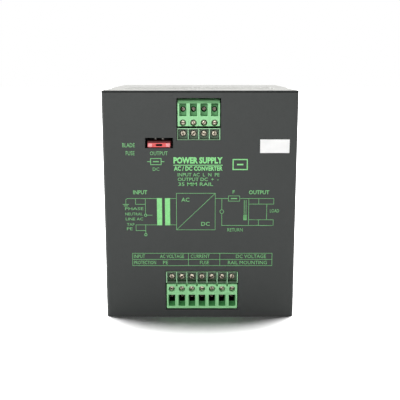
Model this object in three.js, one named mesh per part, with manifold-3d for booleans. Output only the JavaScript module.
// A power supply for a DIN rail. Its sheet-metal housing holds two pluggable terminal blocks and a
// blade fuse in the front panel, a circuit board with the converter behind them, and a hook with a
// sprung latch for a 35 mm top-hat rail on its back.
// Millimetres: +X is to the right, +Y to the back and +Z up.
// The origin is the centre of the housing's bottom face.
import * as THREE from "three";
import { mergeVertices } from "three/addons/utils/BufferGeometryUtils.js";
import Module from "manifold-3d";

// ---------------------------------------------------------------- driving dimensions

// Housing.
const WIDTH = 94.6;
const HEIGHT = 113.7;
const DEPTH = 105;
const SHEET = 1;
const BEND = 1.5; // outer radius of every bend
const BEND_STEPS = 4;
const GAP = 0.3; // between pieces that lie side by side
const TOUCH = 0.02; // between pieces that lie flat on each other
const FRONT = -DEPTH / 2;
const BACK = DEPTH / 2;
const PAST = 1; // how far a cutting tool reaches past the face that it cuts

// Vent slots, the same in the top and the bottom: rows from front to back, slots across.
const VENT = { rows: [-36, -19], length: 13, width: 3, pitch: 6, count: 13 };

// Lugs bent from the chassis: for the cover screws at the sides, for the board at its front.
const COVER_LUG = { y: 22, wide: 12, high: 10, screwIn: 5.5 };
const BOARD_LUG = { x: 36, wide: 10, high: 11, screwIn: 7 };

// Terminal blocks. Heights count from the outer edge of the block's window towards the middle of the
// front panel, and depths from the panel's outer face.
const PITCH = 5.08;
const OUTPUT = {
  name: "output",
  poles: 4,
  x: -0.6,
  edge: 110.1,
  turn: 0,
  plugFrom: 0.35,
  plugTo: 13.35,
  shoulder: 2.1,
  notched: false,
  entry: 5.5,
  plugScrew: 11.75,
  headerFrom: 14,
  headerTo: 20.05,
  headerScrew: 17.1,
};
const INPUT = {
  name: "input",
  poles: 7,
  x: 1,
  edge: 3.6,
  turn: Math.PI,
  plugFrom: 0.65,
  plugTo: 13.95,
  shoulder: 0,
  notched: true,
  entry: 5.1,
  plugScrew: 11.05,
  headerFrom: 14.35,
  headerTo: 20.5,
  headerScrew: 16.7,
};
const WINDOW_MARGIN = 0.5; // window past the plug at each side
const PLUG_DEPTH = 17;
const SHOULDER_DEPTH = 4;
const NOTCH = { wide: 0.9, high: 1, deep: 3 };
const ENTRY = { mouth: [3.4, 6], throat: [2.6, 3], taper: 4.2, deep: 8 };
const PIN = { size: 1, socket: 1.6, from: 9.6 };
const CELL = { high: 4.7, rib: 0.6, deep: 3.2 };
const SCREW = { radius: 1.3, long: 6, slotWide: 0.5, slotDeep: 0.6, sides: 12 };
const SCREW_HOLE = { radius: 1.5, deep: 9 };
const PLUG_SCREW_SUNK = 1.3;
const HEADER_SCREW_SUNK = 2.8;
const SCREW_ANGLE_STEP = 1.1; // radians from one screw's slot to the next one's

// Blade fuse and its holder, round the middle of the fuse's front face.
const FUSE = { x: -19.8, z: 87.9, wide: 11.4, high: 3.3, deep: 8, proud: 0.5 };
const FUSE_SLOT = { wide: 3, low: -0.8, top: 0.35, deep: 1.2 };
const FUSE_CAVITY = { wide: 10.4, high: 1.3, from: 2.6 };
const BLADE = { from: 2.5, to: 4.9, start: 3, end: 15, thick: 0.7, link: 1.2 };
const FUSE_WINDOW = { wide: 13.5, low: -1.75, top: 3.2 };
const HOLDER = { wide: 16, low: -4.6, top: 5.6, cavityDeep: 9.5, slotDeep: 16.5 };

const LABEL = { x: 36.2, z: 87.1, wide: 14.2, high: 6.6, thick: 0.5 };

// Circuit board, parallel to the front panel, and what stands on its back.
const BOARD = { wide: 84, low: 4, top: 109, depth: 22, thick: 1.6, holeRadius: 1.6 };
const CORE = { x: -16, z: 62, y: 18, wide: 42, high: 42, deep: 16, limb: 13, yoke: 7 };
const WINDING = { wide: 29.4, deep: 30, radius: 5, footWide: 32, footThick: 3.2 };
const CAPACITORS = [
  { name: "bulk_capacitor_1", x: 26, z: 88, radius: 11, high: 38 },
  { name: "bulk_capacitor_2", x: 26, z: 62, radius: 11, high: 38 },
  { name: "output_capacitor_1", x: 2, z: 97, radius: 8, high: 30 },
  { name: "output_capacitor_2", x: -15, z: 97, radius: 8, high: 30 },
];
const CAN = { pinch: 0.06, grooveLow: 2.2, grooveHigh: 3.8, sides: 14 }; // pinch is a share of the radius
const CHOKES = [
  { name: "line_choke", x: 22, z: 20, ring: 7.5, tube: 3.5 },
  { name: "output_choke", x: -33, z: 92, ring: 5.4, tube: 2.8 },
];
const CHOKE_RING = { foot: 2, tubeSides: 8, sides: 16 };
const FILTER_CAPACITOR = { x: -8, z: 14, wide: 26, deep: 20, high: 10 };
const INRUSH_LIMITER = { x: -8, z: 30, radius: 7, thick: 4, stand: 10, leg: 0.8, sides: 14 };
const SINK = { x: 36, base: 3, finLong: 4.5, finThick: 1.6, fins: 8, deep: 60 };
const SINKS = [
  { name: "heat_sink_primary", part: "switching_transistor", side: 1, low: 14, top: 48 },
  { name: "heat_sink_secondary", part: "output_rectifier", side: -1, low: 14, top: 38 },
];
const POWER_PART = { thick: 4.7, high: 16, from: 16, to: 36, leg: 1.2, legPitch: 5.4, legs: 3 };

// Rail clip on the back: plate with fixed hook, latch and spring, for a rail 35 mm high.
const RAIL = { z: 60, high: 35, thick: 1 };
const PLATE = { wide: 44, low: 26, top: 86, thick: 5.5 };
const LAND = { wide: 24, high: 30, thick: 1 };
const LIP = { thick: 1.6, over: 1.9, clear: 0.4, play: 0.2 };
const CHANNEL = { wide: 19.6, neck: 16.6, floor: 1.9, undercut: 1.6, top: 46 };
const LATCH = { wide: 19, neck: 16, clear: 0.3, low: 8, wingTop: 44.4, blockLow: 38.5, tabTop: 14 };
const PULL_SLOT = { wide: 8, low: 10, top: 12.4 };
const SPRING_WINDOW = { wide: 4.4, low: 26.6, top: 40 };
const SPRING_POST = { wide: 3.6, low: 27, top: 28.5 };
const SPRING = { radius: 1.05, wire: 0.25, turns: 6, stepsPerTurn: 8, sides: 5 };

// Fasteners of the housing: pan heads for the board and the rail plate, sunk heads for the cover.
const PAN = { headRadius: 2.75, headHigh: 2, shankRadius: 1.3, sides: 12 };
const SUNK = { headRadius: 2.65, shankRadius: 1.25, long: 5, clear: 0.3, sides: 12 };
const FASTENER_HOLE = 1.6;
const RAIL_SCREW = { x: 17, boreRadius: 3.2, boreDeep: 2.6, shank: 7 };
const BOARD_SCREW_SHANK = 4;

// Looks: colour, roughness, metalness.
const ANTHRACITE = [0x505251, 0.6, 0.2];
const ZINC = [0xd2d2ce, 0.45, 0.7];
const PLUG_GREEN = [0x9be6a5, 0.5, 0];
const HEADER_GREEN = [0x1e3c23, 0.5, 0];
const SCREW_METAL = [0xaaa596, 0.35, 0.9];
const FUSE_RED = [0xd75555, 0.35, 0];
const BLACK_PLASTIC = [0x151616, 0.5, 0];
const DARK_PLASTIC = [0x2a2b2c, 0.6, 0];
const LABEL_WHITE = [0xf6f6f4, 0.6, 0];
const BOARD_GREEN = [0x2e6b3a, 0.5, 0];
const FERRITE = [0x2b2b2d, 0.8, 0];
const TAPE_YELLOW = [0xd8b53a, 0.6, 0];
const SLEEVE_BLACK = [0x1c2030, 0.4, 0];
const COPPER = [0xb0683a, 0.4, 0.8];
const FILM_YELLOW = [0xd9a52b, 0.6, 0];
const CERAMIC_GREEN = [0x2f5b46, 0.6, 0];
const ALUMINIUM = [0xb9bcbf, 0.4, 0.9];

// ---------------------------------------------------------------- solids

const wasm = await Module();
wasm.setup();

// The solid inside a closed geometry.
function solid(geometry) {
  const bare = geometry.index ? geometry.toNonIndexed() : geometry;
  bare.deleteAttribute("normal");
  bare.deleteAttribute("uv");
  const merged = mergeVertices(bare, 1e-4);
  const mesh = new wasm.Mesh({
    numProp: 3,
    vertProperties: merged.attributes.position.array,
    triVerts: new Uint32Array(merged.index.array),
  });
  return new wasm.Manifold(mesh);
}

function geometryOf(made) {
  const mesh = made.getMesh();
  const geometry = new THREE.BufferGeometry();
  geometry.setAttribute("position", new THREE.BufferAttribute(mesh.vertProperties, 3));
  geometry.setIndex(new THREE.BufferAttribute(mesh.triVerts, 1));
  return geometry;
}

const join = (...parts) => parts.reduce((whole, part) => whole.add(part));
const cut = (body, ...tools) => tools.reduce((left, tool) => left.subtract(tool), body);

// Ranges along an axis.
const both = (half) => [-half, half];
const around = (middle, size) => [middle - size / 2, middle + size / 2];

function box([x0, x1], [y0, y1], [z0, z1]) {
  const geometry = new THREE.BoxGeometry(x1 - x0, y1 - y0, z1 - z0);
  geometry.translate((x0 + x1) / 2, (y0 + y1) / 2, (z0 + z1) / 2);
  return solid(geometry);
}

// A round bar along Y, or a cone where its back end has another radius.
function bar(radius, [y0, y1], x, z, sides, backRadius = radius) {
  const geometry = new THREE.CylinderGeometry(backRadius, radius, y1 - y0, sides);
  geometry.translate(x, (y0 + y1) / 2, z);
  return solid(geometry);
}

// A square funnel along Y, from its mouth's size to its throat's.
function funnel(mouth, throat, [y0, y1], x, z) {
  const geometry = new THREE.BoxGeometry(1, 1, 1);
  const corners = geometry.attributes.position;
  for (let i = 0; i < corners.count; i++) {
    const atMouth = corners.getY(i) < 0;
    const [wide, high] = atMouth ? mouth : throat;
    corners.setXYZ(i, x + corners.getX(i) * wide, atMouth ? y0 : y1, z + corners.getZ(i) * high);
  }
  return solid(geometry);
}

// An outline in the plane of X and Y, extruded along Z.
function upright(shape, [z0, z1], curveSegments = BEND_STEPS) {
  const options = { depth: z1 - z0, bevelEnabled: false, curveSegments };
  const geometry = new THREE.ExtrudeGeometry(shape, options);
  geometry.translate(0, 0, z0);
  return solid(geometry);
}

// An outline in the plane of Y and Z, extruded along X.
function crosswise(shape, [x0, x1]) {
  const options = { depth: x1 - x0, bevelEnabled: false, curveSegments: BEND_STEPS };
  const geometry = new THREE.ExtrudeGeometry(shape, options);
  const along = new THREE.Vector3(1, 0, 0);
  const right = new THREE.Vector3(0, 1, 0);
  const up = new THREE.Vector3(0, 0, 1);
  geometry.applyMatrix4(new THREE.Matrix4().makeBasis(right, up, along));
  geometry.translate(x0, 0, 0);
  return solid(geometry);
}

function outline(points) {
  return new THREE.Shape(points.map(([a, b]) => new THREE.Vector2(a, b)));
}

function roundedRectangle(wide, high, radius) {
  const [x, y] = [wide / 2, high / 2];
  const shape = new THREE.Shape();
  shape.absarc(x - radius, -y + radius, radius, -Math.PI / 2, 0);
  shape.absarc(x - radius, y - radius, radius, 0, Math.PI / 2);
  shape.absarc(-x + radius, y - radius, radius, Math.PI / 2, Math.PI);
  shape.absarc(-x + radius, -y + radius, radius, Math.PI, 1.5 * Math.PI);
  return shape;
}

// The section of a sheet bent into a U: its web lies at the lowest b, and its legs end at legEnd.
function bentSheet(wide, web, legEnd) {
  const a = wide / 2;
  const inner = BEND - SHEET;
  const centre = web + BEND;
  const shape = new THREE.Shape();
  shape.moveTo(-a, legEnd);
  shape.lineTo(-a, centre);
  shape.absarc(-a + BEND, centre, BEND, Math.PI, 1.5 * Math.PI);
  shape.absarc(a - BEND, centre, BEND, 1.5 * Math.PI, 2 * Math.PI);
  shape.lineTo(a, legEnd);
  shape.lineTo(a - SHEET, legEnd);
  shape.absarc(a - BEND, centre, inner, 2 * Math.PI, 1.5 * Math.PI, true);
  shape.absarc(-a + BEND, centre, inner, 1.5 * Math.PI, Math.PI, true);
  shape.lineTo(-a + SHEET, legEnd);
  return shape;
}

// ---------------------------------------------------------------- scene graph

const supply = new THREE.Group();

function piece(parent, name, made, [color, roughness, metalness]) {
  const material = new THREE.MeshStandardMaterial({ color, roughness, metalness });
  const mesh = new THREE.Mesh(geometryOf(made), material);
  mesh.name = name;
  parent.add(mesh);
  return mesh;
}

function groupAt(x, y, z) {
  const group = new THREE.Group();
  group.position.set(x, y, z);
  supply.add(group);
  return group;
}

// ---------------------------------------------------------------- housing

const SIDES = [-1, 1];
const COVER_SCREW_HEIGHTS = [SHEET + COVER_LUG.screwIn, HEIGHT - SHEET - COVER_LUG.screwIn];
const BOARD_SCREW_HEIGHTS = [SHEET + BOARD_LUG.screwIn, HEIGHT - SHEET - BOARD_LUG.screwIn];

// A terminal block's window through the front panel.
function blockWindow(block) {
  const wide = block.poles * PITCH + 2 * WINDOW_MARGIN;
  const inward = block.turn ? 1 : -1;
  const heights = [block.edge, block.edge + inward * (block.headerTo + TOUCH)];
  heights.sort((a, b) => a - b);
  return box(around(block.x, wide), [FRONT - PAST, FRONT + SHEET + PAST], heights);
}

function fuseWindow() {
  const depths = [FRONT - PAST, FRONT + SHEET + PAST];
  const heights = [FUSE.z + FUSE_WINDOW.low, FUSE.z + FUSE_WINDOW.top];
  return box(around(FUSE.x, FUSE_WINDOW.wide), depths, heights);
}

// The sunk hole of a cover screw through a side wall, along X at the side given.
function sunkHole(side, y, z) {
  const { headRadius, shankRadius, clear, sides } = SUNK;
  const cone = new THREE.CylinderGeometry(headRadius + clear, shankRadius + clear, SHEET, sides);
  cone.rotateZ(-Math.PI / 2 * side);
  cone.translate(side * (WIDTH - SHEET) / 2, y, z);
  return solid(cone);
}

// Front panel and side walls. Only the panel's flat part runs the full height, because the top and
// the bottom of the chassis lie over the ends of the walls.
function coverSolid() {
  const wallEnd = BACK - SHEET - GAP;
  const wallHeights = [SHEET + GAP, HEIGHT - SHEET - GAP];
  const walls = upright(bentSheet(WIDTH, FRONT, wallEnd), wallHeights);
  const panel = box(both(WIDTH / 2 - BEND), [FRONT, FRONT + SHEET], [0, HEIGHT]);
  const holes = SIDES.flatMap((side) =>
    COVER_SCREW_HEIGHTS.map((z) => sunkHole(side, COVER_LUG.y, z)),
  );
  return cut(join(walls, panel), blockWindow(OUTPUT), blockWindow(INPUT), fuseWindow(), ...holes);
}

function ventSlots(z) {
  const heights = [z - PAST, z + SHEET + PAST];
  return VENT.rows.flatMap((y) =>
    Array.from({ length: VENT.count }, (_, i) => {
      const x = (i - (VENT.count - 1) / 2) * VENT.pitch;
      return box(around(x, VENT.width), [y, y + VENT.length], heights);
    }),
  );
}

// Top, back and bottom in one bent sheet: the U lies on its side, so it is made upright and turned.
function chassisSheet() {
  const front = FRONT + SHEET + GAP;
  const options = { depth: WIDTH, bevelEnabled: false, curveSegments: BEND_STEPS };
  const sheet = new THREE.ExtrudeGeometry(bentSheet(HEIGHT, -BACK, -front), options);
  const across = new THREE.Vector3(0, 0, 1);
  const forward = new THREE.Vector3(0, -1, 0);
  const along = new THREE.Vector3(1, 0, 0);
  sheet.applyMatrix4(new THREE.Matrix4().makeBasis(across, forward, along));
  sheet.translate(-WIDTH / 2, 0, HEIGHT / 2);
  return solid(sheet);
}

// The lugs at one end of the housing: z0 is where they leave the sheet, and inward points away from it.
function lugs(z0, inward) {
  const heights = (high) => [z0 - inward * TOUCH, z0 + inward * high].sort((a, b) => a - b);
  const boardBack = FRONT + BOARD.depth + BOARD.thick + GAP;
  const coverLugOuter = WIDTH / 2 - SHEET - GAP;
  return SIDES.flatMap((side) => {
    const coverLugX = [side * coverLugOuter, side * (coverLugOuter - SHEET)].sort((a, b) => a - b);
    const coverLugY = around(COVER_LUG.y, COVER_LUG.wide);
    const boardLugX = around(side * BOARD_LUG.x, BOARD_LUG.wide);
    return [
      box(coverLugX, coverLugY, heights(COVER_LUG.high)),
      box(boardLugX, [boardBack, boardBack + SHEET], heights(BOARD_LUG.high)),
    ];
  });
}

function coverLugHole(side, z) {
  const hole = new THREE.CylinderGeometry(FASTENER_HOLE, FASTENER_HOLE, 2 * PAST + SHEET, SUNK.sides);
  hole.rotateZ(Math.PI / 2);
  const lugMiddle = WIDTH / 2 - SHEET - GAP - SHEET / 2;
  hole.translate(side * lugMiddle, COVER_LUG.y, z);
  return solid(hole);
}

function boardLugHole(side, z) {
  const y = FRONT + BOARD.depth + BOARD.thick;
  const depths = [y - PAST, y + GAP + SHEET + PAST];
  return bar(FASTENER_HOLE, depths, side * BOARD_LUG.x, z, PAN.sides);
}

function chassisSolid() {
  const body = join(chassisSheet(), ...lugs(SHEET, 1), ...lugs(HEIGHT - SHEET, -1));
  const railHoles = SIDES.map((side) =>
    bar(FASTENER_HOLE, [BACK - SHEET - PAST, BACK + PAST], side * RAIL_SCREW.x, RAIL.z, PAN.sides),
  );
  const lugHoles = SIDES.flatMap((side) => [
    ...COVER_SCREW_HEIGHTS.map((z) => coverLugHole(side, z)),
    ...BOARD_SCREW_HEIGHTS.map((z) => boardLugHole(side, z)),
  ]);
  return cut(body, ...ventSlots(0), ...ventSlots(HEIGHT - SHEET), ...railHoles, ...lugHoles);
}

function labelSolid() {
  const depths = [FRONT - TOUCH - LABEL.thick, FRONT - TOUCH];
  return box(around(LABEL.x, LABEL.wide), depths, around(LABEL.z, LABEL.high));
}

// A sunk-head screw with its head's face at the origin and its shank towards -X.
function sunkScrew() {
  const { headRadius, shankRadius, long, sides } = SUNK;
  const head = new THREE.CylinderGeometry(headRadius, shankRadius, SHEET, sides);
  head.translate(0, -SHEET / 2, 0);
  const shank = new THREE.CylinderGeometry(shankRadius, shankRadius, long, sides);
  shank.translate(0, -SHEET - long / 2, 0);
  head.rotateZ(-Math.PI / 2);
  shank.rotateZ(-Math.PI / 2);
  const slot = box([-SCREW.slotDeep, PAST], both(headRadius), both(SCREW.slotWide / 2));
  return cut(join(solid(head), solid(shank)), slot);
}

// A pan-head screw with its head's underside at the origin, its shank towards +Y.
function panScrew(shank) {
  const head = bar(PAN.headRadius, [-PAN.headHigh, 0], 0, 0, PAN.sides);
  const slotDepths = [-PAN.headHigh - PAST, -PAN.headHigh + SCREW.slotDeep];
  const slot = box(both(PAN.headRadius), slotDepths, both(SCREW.slotWide / 2));
  return cut(join(head, bar(PAN.shankRadius, [0, shank], 0, 0, PAN.sides)), slot);
}

function addHousing() {
  piece(supply, "wrap_cover", coverSolid(), ANTHRACITE);
  piece(supply, "chassis", chassisSolid(), ZINC);
  piece(supply, "marker_label", labelSolid(), LABEL_WHITE);
  let count = 0;
  for (const side of SIDES) {
    for (const z of COVER_SCREW_HEIGHTS) {
      count += 1;
      const screw = piece(supply, `cover_screw_${count}`, sunkScrew(), ZINC);
      screw.position.set(side * WIDTH / 2, COVER_LUG.y, z);
      screw.rotation.z = side > 0 ? 0 : Math.PI;
    }
  }
}

// ---------------------------------------------------------------- terminal blocks

// Middles of the poles, in the block's own frame.
function poleXs({ poles }) {
  return Array.from({ length: poles }, (_, i) => (i - (poles - 1) / 2) * PITCH);
}

// The part with the wire entries and their screws, which pulls out forwards.
function plugSolid(block) {
  const wide = block.poles * PITCH;
  const faceTop = -block.plugFrom - block.shoulder;
  const side = outline([
    [0, -block.plugTo],
    [PLUG_DEPTH, -block.plugTo],
    [PLUG_DEPTH, -block.plugFrom],
    [SHOULDER_DEPTH, -block.plugFrom],
    [0, faceTop],
  ]);
  const body = crosswise(side, both(wide / 2));
  const { mouth, throat, taper, deep } = ENTRY;
  const tools = poleXs(block).flatMap((x) => [
    funnel(mouth, throat, [0, taper], x, -block.entry),
    box(around(x, throat[0]), [taper - TOUCH, deep], around(-block.entry, throat[1])),
    bar(SCREW_HOLE.radius, [-PAST, SCREW_HOLE.deep], x, -block.plugScrew, SCREW.sides),
    box(around(x, PIN.socket), [PIN.from - GAP, PLUG_DEPTH + PAST], around(-block.entry, PIN.socket)),
  ]);
  const notches = poleXs(block).slice(1).map((x) =>
    box(around(x - PITCH / 2, NOTCH.wide), [-PAST, NOTCH.deep], around(-block.plugTo, 2 * NOTCH.high)),
  );
  return cut(body, ...tools, ...(block.notched ? notches : []));
}

// The fixed half: a row of wells with the clamp screws, and behind the plug a wall with its pins.
function headerSolid(block) {
  const wide = block.poles * PITCH + CELL.rib;
  const back = BOARD.depth - TOUCH;
  const row = box(both(wide / 2), [0, back], [-block.headerTo, -block.headerFrom]);
  const wall = box(both(wide / 2), [PLUG_DEPTH + GAP, back], [-block.headerTo, -block.plugFrom]);
  const pins = poleXs(block).map((x) =>
    box(around(x, PIN.size), [PIN.from, PLUG_DEPTH + 2 * GAP], around(-block.entry, PIN.size)),
  );
  const rowMiddle = -(block.headerFrom + block.headerTo) / 2;
  const wells = poleXs(block).flatMap((x) => [
    box(around(x, PITCH - CELL.rib), [-PAST, CELL.deep], around(rowMiddle, CELL.high)),
    bar(SCREW_HOLE.radius, [0, SCREW_HOLE.deep], x, -block.headerScrew, SCREW.sides),
  ]);
  return cut(join(row, wall, ...pins), ...wells);
}

// A slotted clamp screw with the middle of its face at the origin.
function clampScrew() {
  const body = bar(SCREW.radius, [0, SCREW.long], 0, 0, SCREW.sides);
  const slot = box(both(SCREW.radius + PAST), [-PAST, SCREW.slotDeep], both(SCREW.slotWide / 2));
  return cut(body, slot);
}

// One block. The lower block is the same design turned upside down.
function addBlock(block) {
  const group = groupAt(block.x, FRONT, block.edge);
  group.rotation.y = block.turn;
  piece(group, `${block.name}_plug`, plugSolid(block), PLUG_GREEN);
  piece(group, `${block.name}_header`, headerSolid(block), HEADER_GREEN);
  const fromLeft = block.turn ? -1 : 1;
  poleXs(block).forEach((x, i) => {
    const inPlug = piece(group, `${block.name}_plug_screw_${i + 1}`, clampScrew(), SCREW_METAL);
    inPlug.position.set(fromLeft * x, PLUG_SCREW_SUNK, -block.plugScrew);
    inPlug.rotation.y = i * SCREW_ANGLE_STEP;
    const inHeader = piece(group, `${block.name}_header_screw_${i + 1}`, clampScrew(), SCREW_METAL);
    inHeader.position.set(fromLeft * x, HEADER_SCREW_SUNK, -block.headerScrew);
    inHeader.rotation.y = (i + block.poles) * SCREW_ANGLE_STEP;
  });
}

// ---------------------------------------------------------------- fuse

function fuseBodySolid() {
  const body = box(both(FUSE.wide / 2), [-FUSE.proud, FUSE.deep], both(FUSE.high / 2));
  const slotDepths = [-FUSE.proud - PAST, -FUSE.proud + FUSE_SLOT.deep];
  const slot = box(both(FUSE_SLOT.wide / 2), slotDepths, [FUSE_SLOT.low, FUSE_SLOT.top]);
  const cavityDepths = [FUSE_CAVITY.from, FUSE.deep + PAST];
  const cavity = box(both(FUSE_CAVITY.wide / 2), cavityDepths, both(FUSE_CAVITY.high / 2));
  return cut(body, slot, cavity);
}

// Two blades and the link that melts between them.
function fuseElementSolid() {
  const blades = SIDES.map((side) => {
    const x = [side * BLADE.from, side * BLADE.to].sort((a, b) => a - b);
    return box(x, [BLADE.start, BLADE.end], both(BLADE.thick / 2));
  });
  const link = box(both(BLADE.from + GAP), [BLADE.start, BLADE.start + BLADE.link], both(BLADE.thick / 4));
  return join(link, ...blades);
}

function fuseHolderSolid() {
  const depths = [SHEET + GAP, BOARD.depth - TOUCH];
  const body = box(both(HOLDER.wide / 2), depths, [HOLDER.low, HOLDER.top]);
  const opening = box(
    both(FUSE_WINDOW.wide / 2),
    [0, HOLDER.cavityDeep],
    [FUSE_WINDOW.low, FUSE_WINDOW.top],
  );
  const slots = SIDES.map((side) => {
    const x = [side * (BLADE.from - GAP), side * (BLADE.to + GAP)].sort((a, b) => a - b);
    return box(x, [HOLDER.cavityDeep - PAST, HOLDER.slotDeep], both(BLADE.thick / 2 + GAP));
  });
  return cut(body, opening, ...slots);
}

function addFuse() {
  const group = groupAt(FUSE.x, FRONT, FUSE.z);
  piece(group, "fuse_body", fuseBodySolid(), FUSE_RED);
  piece(group, "fuse_element", fuseElementSolid(), ZINC);
  piece(group, "fuse_holder", fuseHolderSolid(), BLACK_PLASTIC);
}

// ---------------------------------------------------------------- board and components

function boardSolid() {
  const depths = [FRONT + BOARD.depth, FRONT + BOARD.depth + BOARD.thick];
  const plate = box(both(BOARD.wide / 2), depths, [BOARD.low, BOARD.top]);
  const through = [depths[0] - PAST, depths[1] + PAST];
  const holes = SIDES.flatMap((side) =>
    BOARD_SCREW_HEIGHTS.map((z) => bar(BOARD.holeRadius, through, side * BOARD_LUG.x, z, PAN.sides)),
  );
  return cut(plate, ...holes);
}

// Two E-shaped halves glued into one core: a frame with a middle limb.
function coreSolid() {
  const { wide, high, deep, limb, yoke } = CORE;
  const frame = box(both(wide / 2), both(deep / 2), both(high / 2));
  const windows = SIDES.map((side) => {
    const x = [side * limb / 2, side * (wide / 2 - limb / 2 + GAP)].sort((a, b) => a - b);
    return box(x, both(deep / 2 + PAST), both(high / 2 - yoke));
  });
  return cut(frame, ...windows);
}

// Bobbin with its winding round the middle limb, on a foot that stands on the board.
function windingSolid() {
  const half = CORE.high / 2 - CORE.yoke - GAP;
  const wound = upright(roundedRectangle(WINDING.wide, WINDING.deep, WINDING.radius), both(half));
  const hole = box(both(CORE.limb / 2 + GAP), both(CORE.deep / 2 + GAP), both(half + PAST));
  const footDepths = [-CORE.y + TOUCH, -CORE.y + WINDING.footThick];
  const foot = box(both(WINDING.footWide / 2), footDepths, both(half));
  return join(cut(wound, hole), foot);
}

// A can with a pinched neck near its foot and a rounded rim, standing along +Y.
function capacitorSolid(radius, high) {
  const { grooveLow, grooveHigh, sides } = CAN;
  const pinch = radius * CAN.pinch;
  const profile = [
    [0, TOUCH],
    [radius, TOUCH],
    [radius, grooveLow],
    [radius - pinch, (grooveLow + grooveHigh) / 2],
    [radius, grooveHigh],
    [radius, high - pinch],
    [radius - pinch, high],
    [0, high],
  ];
  const points = profile.map(([r, y]) => new THREE.Vector2(r, y));
  return solid(new THREE.LatheGeometry(points, sides));
}

// A wound ring lying on a square foot.
function chokeSolid(ring, tube) {
  const { foot: footHigh, tubeSides, sides } = CHOKE_RING;
  const torus = new THREE.TorusGeometry(ring, tube, tubeSides, sides);
  torus.rotateX(Math.PI / 2);
  torus.translate(0, tube + footHigh / 2, 0);
  const foot = box(both(ring), [TOUCH, footHigh], both(ring));
  return join(solid(torus), foot);
}

function filterCapacitorSolid() {
  const { wide, deep, high } = FILTER_CAPACITOR;
  return box(both(wide / 2), [TOUCH, deep], both(high / 2));
}

// A ceramic disc on two legs.
function inrushLimiterSolid() {
  const { radius, thick, stand, leg, sides } = INRUSH_LIMITER;
  const disc = new THREE.CylinderGeometry(radius, radius, thick, sides);
  disc.rotateX(Math.PI / 2);
  disc.translate(0, stand, 0);
  const legs = SIDES.map((side) => box(around(side * radius / 2, leg), [TOUCH, stand], both(leg / 2)));
  return join(solid(disc), ...legs);
}

// A comb of fins towards the side wall, on a base that stands on the board.
function sinkSolid(side, low, top) {
  const { x, base, finLong, finThick, fins, deep } = SINK;
  const plateX = [side * x, side * (x + base)].sort((a, b) => a - b);
  const finX = [side * (x + base - TOUCH), side * (x + base + finLong)].sort((a, b) => a - b);
  const plate = box(plateX, [TOUCH, deep], [low, top]);
  const combs = Array.from({ length: fins }, (_, i) => {
    const y = deep * (i + 0.5) / fins;
    return box(finX, around(y, finThick), [low, top]);
  });
  return join(plate, ...combs);
}

// A power semiconductor flat on the inside of its heat sink, with its legs in the board.
function powerPartSolid(side, middle) {
  const { thick, high, from, to, leg, legPitch, legs } = POWER_PART;
  const outer = SINK.x - TOUCH;
  const x = [side * outer, side * (outer - thick)].sort((a, b) => a - b);
  const body = box(x, [from, to], around(middle, high));
  const pins = Array.from({ length: legs }, (_, i) => {
    const z = middle + (i - (legs - 1) / 2) * legPitch;
    return box(around(side * (outer - thick / 2), leg), [TOUCH, from + TOUCH], around(z, leg));
  });
  return join(body, ...pins);
}

function addBoard() {
  piece(supply, "main_pcb", boardSolid(), BOARD_GREEN);
  const back = FRONT + BOARD.depth + BOARD.thick;
  const place = (name, made, look, x, y, z) => {
    piece(supply, name, made, look).position.set(x, back + y, z);
  };
  place("transformer_core", coreSolid(), FERRITE, CORE.x, CORE.y, CORE.z);
  place("transformer_winding", windingSolid(), TAPE_YELLOW, CORE.x, CORE.y, CORE.z);
  for (const { name, x, z, radius, high } of CAPACITORS) {
    place(name, capacitorSolid(radius, high), SLEEVE_BLACK, x, 0, z);
  }
  for (const { name, x, z, ring, tube } of CHOKES) {
    place(name, chokeSolid(ring, tube), COPPER, x, 0, z);
  }
  const filter = FILTER_CAPACITOR;
  place("line_filter_capacitor", filterCapacitorSolid(), FILM_YELLOW, filter.x, 0, filter.z);
  const limiter = INRUSH_LIMITER;
  place("inrush_limiter", inrushLimiterSolid(), CERAMIC_GREEN, limiter.x, 0, limiter.z);
  for (const { name, part, side, low, top } of SINKS) {
    place(name, sinkSolid(side, low, top), ALUMINIUM, 0, 0, 0);
    place(part, powerPartSolid(side, (low + top) / 2), BLACK_PLASTIC, 0, 0, 0);
  }
  let count = 0;
  for (const side of SIDES) {
    for (const z of BOARD_SCREW_HEIGHTS) {
      count += 1;
      const screw = piece(supply, `board_screw_${count}`, panScrew(BOARD_SCREW_SHANK), ZINC);
      screw.position.set(side * BOARD_LUG.x, FRONT + BOARD.depth - TOUCH, z);
    }
  }
}

// ---------------------------------------------------------------- rail clip

// Depths of the clip, from the housing's back.
const PLATE_BACK = BACK + TOUCH + PLATE.thick;
const SEAT = PLATE_BACK + LAND.thick;
const LIP_DEPTHS = [SEAT + RAIL.thick + LIP.clear, SEAT + RAIL.thick + LIP.clear + LIP.thick];
const RAIL_TOP = RAIL.z + RAIL.high / 2;
const RAIL_BOTTOM = RAIL.z - RAIL.high / 2;
const CHANNEL_FLOOR = BACK + TOUCH + CHANNEL.floor;

// A tool for one of the two sunk holes of the plate's screws.
function railScrewBore(side) {
  const x = side * RAIL_SCREW.x;
  const bore = bar(RAIL_SCREW.boreRadius, [PLATE_BACK - RAIL_SCREW.boreDeep, SEAT], x, RAIL.z, PAN.sides);
  const hole = bar(FASTENER_HOLE, [BACK - PAST, PLATE_BACK], x, RAIL.z, PAN.sides);
  return join(bore, hole);
}

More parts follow.
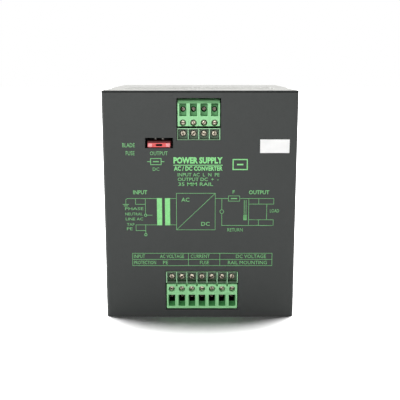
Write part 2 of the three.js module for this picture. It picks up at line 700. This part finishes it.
// Plate with the raised land that the rail lies against, the fixed hook over the rail's upper edge,
// the undercut channel that guides the latch and the post that the spring stands on.
function railPlateSolid() {
  const plate = box(both(PLATE.wide / 2), [BACK + TOUCH, PLATE_BACK], [PLATE.low, PLATE.top]);
  const land = box(both(LAND.wide / 2), [PLATE_BACK - TOUCH, SEAT], around(RAIL.z, LAND.high));
  const hookLow = RAIL_TOP + LIP.play;
  const hook = box(both(PLATE.wide / 2), [PLATE_BACK - TOUCH, LIP_DEPTHS[1]], [hookLow, PLATE.top - PAST]);
  const lip = box(both(PLATE.wide / 2), LIP_DEPTHS, [RAIL_TOP - LIP.over, hookLow + TOUCH]);
  const neckFrom = CHANNEL_FLOOR + CHANNEL.undercut;
  const channelHeights = [PLATE.low - PAST, CHANNEL.top];
  const undercut = box(both(CHANNEL.wide / 2), [CHANNEL_FLOOR, neckFrom], channelHeights);
  const neck = box(both(CHANNEL.neck / 2), [neckFrom - TOUCH, SEAT + PAST], channelHeights);
  const postDepths = [CHANNEL_FLOOR - TOUCH, PLATE_BACK - 2 * GAP];
  const post = box(both(SPRING_POST.wide / 2), postDepths, [SPRING_POST.low, SPRING_POST.top]);
  const body = cut(join(plate, land, hook, lip), undercut, neck, ...SIDES.map(railScrewBore));
  return join(body, post);
}

// T-shaped slider with the lip under the rail's lower edge, and a tab with a slot for a screwdriver.
function latchSolid() {
  const { wide, neck, clear, low, wingTop, blockLow, tabTop } = LATCH;
  const wingDepths = [CHANNEL_FLOOR + clear, CHANNEL_FLOOR + CHANNEL.undercut - clear];
  const neckDepths = [wingDepths[1] - TOUCH, PLATE_BACK - clear];
  const wings = box(both(wide / 2), wingDepths, [low, wingTop]);
  const slider = box(both(neck / 2), neckDepths, [low, wingTop]);
  const blockTop = RAIL_BOTTOM - LIP.play;
  const block = box(both(neck / 2), [neckDepths[1] - TOUCH, LIP_DEPTHS[1]], [blockLow, blockTop]);
  const lip = box(both(neck / 2), LIP_DEPTHS, [blockTop - TOUCH, RAIL_BOTTOM + LIP.over]);
  const tab = box(both(neck / 2), [neckDepths[1] - TOUCH, SEAT + RAIL.thick], [low, tabTop]);
  const through = [BACK, LIP_DEPTHS[1] + PAST];
  const slot = box(both(PULL_SLOT.wide / 2), through, [PULL_SLOT.low, PULL_SLOT.top]);
  const springWindow = box(
    both(SPRING_WINDOW.wide / 2),
    [BACK, PLATE_BACK],
    [SPRING_WINDOW.low, SPRING_WINDOW.top],
  );
  return cut(join(wings, slider, block, lip, tab), slot, springWindow);
}

class Helix extends THREE.Curve {
  constructor(radius, turns, long) {
    super();
    Object.assign(this, { radius, turns, long });
  }
  getPoint(t, target = new THREE.Vector3()) {
    const angle = 2 * Math.PI * this.turns * t;
    return target.set(this.radius * Math.cos(angle), this.radius * Math.sin(angle), this.long * t);
  }
}

// Compression spring from the plate's post up to the top of the latch's window.
function springSolid() {
  const { radius, wire, turns, stepsPerTurn, sides } = SPRING;
  const long = SPRING_WINDOW.top - SPRING_POST.top - 2 * GAP - 2 * wire;
  const section = new THREE.Shape();
  section.absarc(0, 0, wire, 0, 2 * Math.PI);
  const options = {
    steps: turns * stepsPerTurn,
    extrudePath: new Helix(radius, turns, long),
    bevelEnabled: false,
    curveSegments: sides,
  };
  return solid(new THREE.ExtrudeGeometry(section, options));
}

function addRailClip() {
  piece(supply, "rail_plate", railPlateSolid(), DARK_PLASTIC);
  piece(supply, "rail_latch", latchSolid(), BLACK_PLASTIC);
  const spring = piece(supply, "latch_spring", springSolid(), ZINC);
  const sliderMiddle = (CHANNEL_FLOOR + PLATE_BACK) / 2;
  spring.position.set(0, sliderMiddle, SPRING_POST.top + GAP + SPRING.wire);
  SIDES.forEach((side, i) => {
    const screw = piece(supply, `rail_screw_${i + 1}`, panScrew(RAIL_SCREW.shank), ZINC);
    screw.rotation.z = Math.PI;
    screw.position.set(side * RAIL_SCREW.x, PLATE_BACK - RAIL_SCREW.boreDeep + TOUCH, RAIL.z);
  });
}

addHousing();
addBlock(OUTPUT);
addBlock(INPUT);
addFuse();
addBoard();
addRailClip();

export default supply;
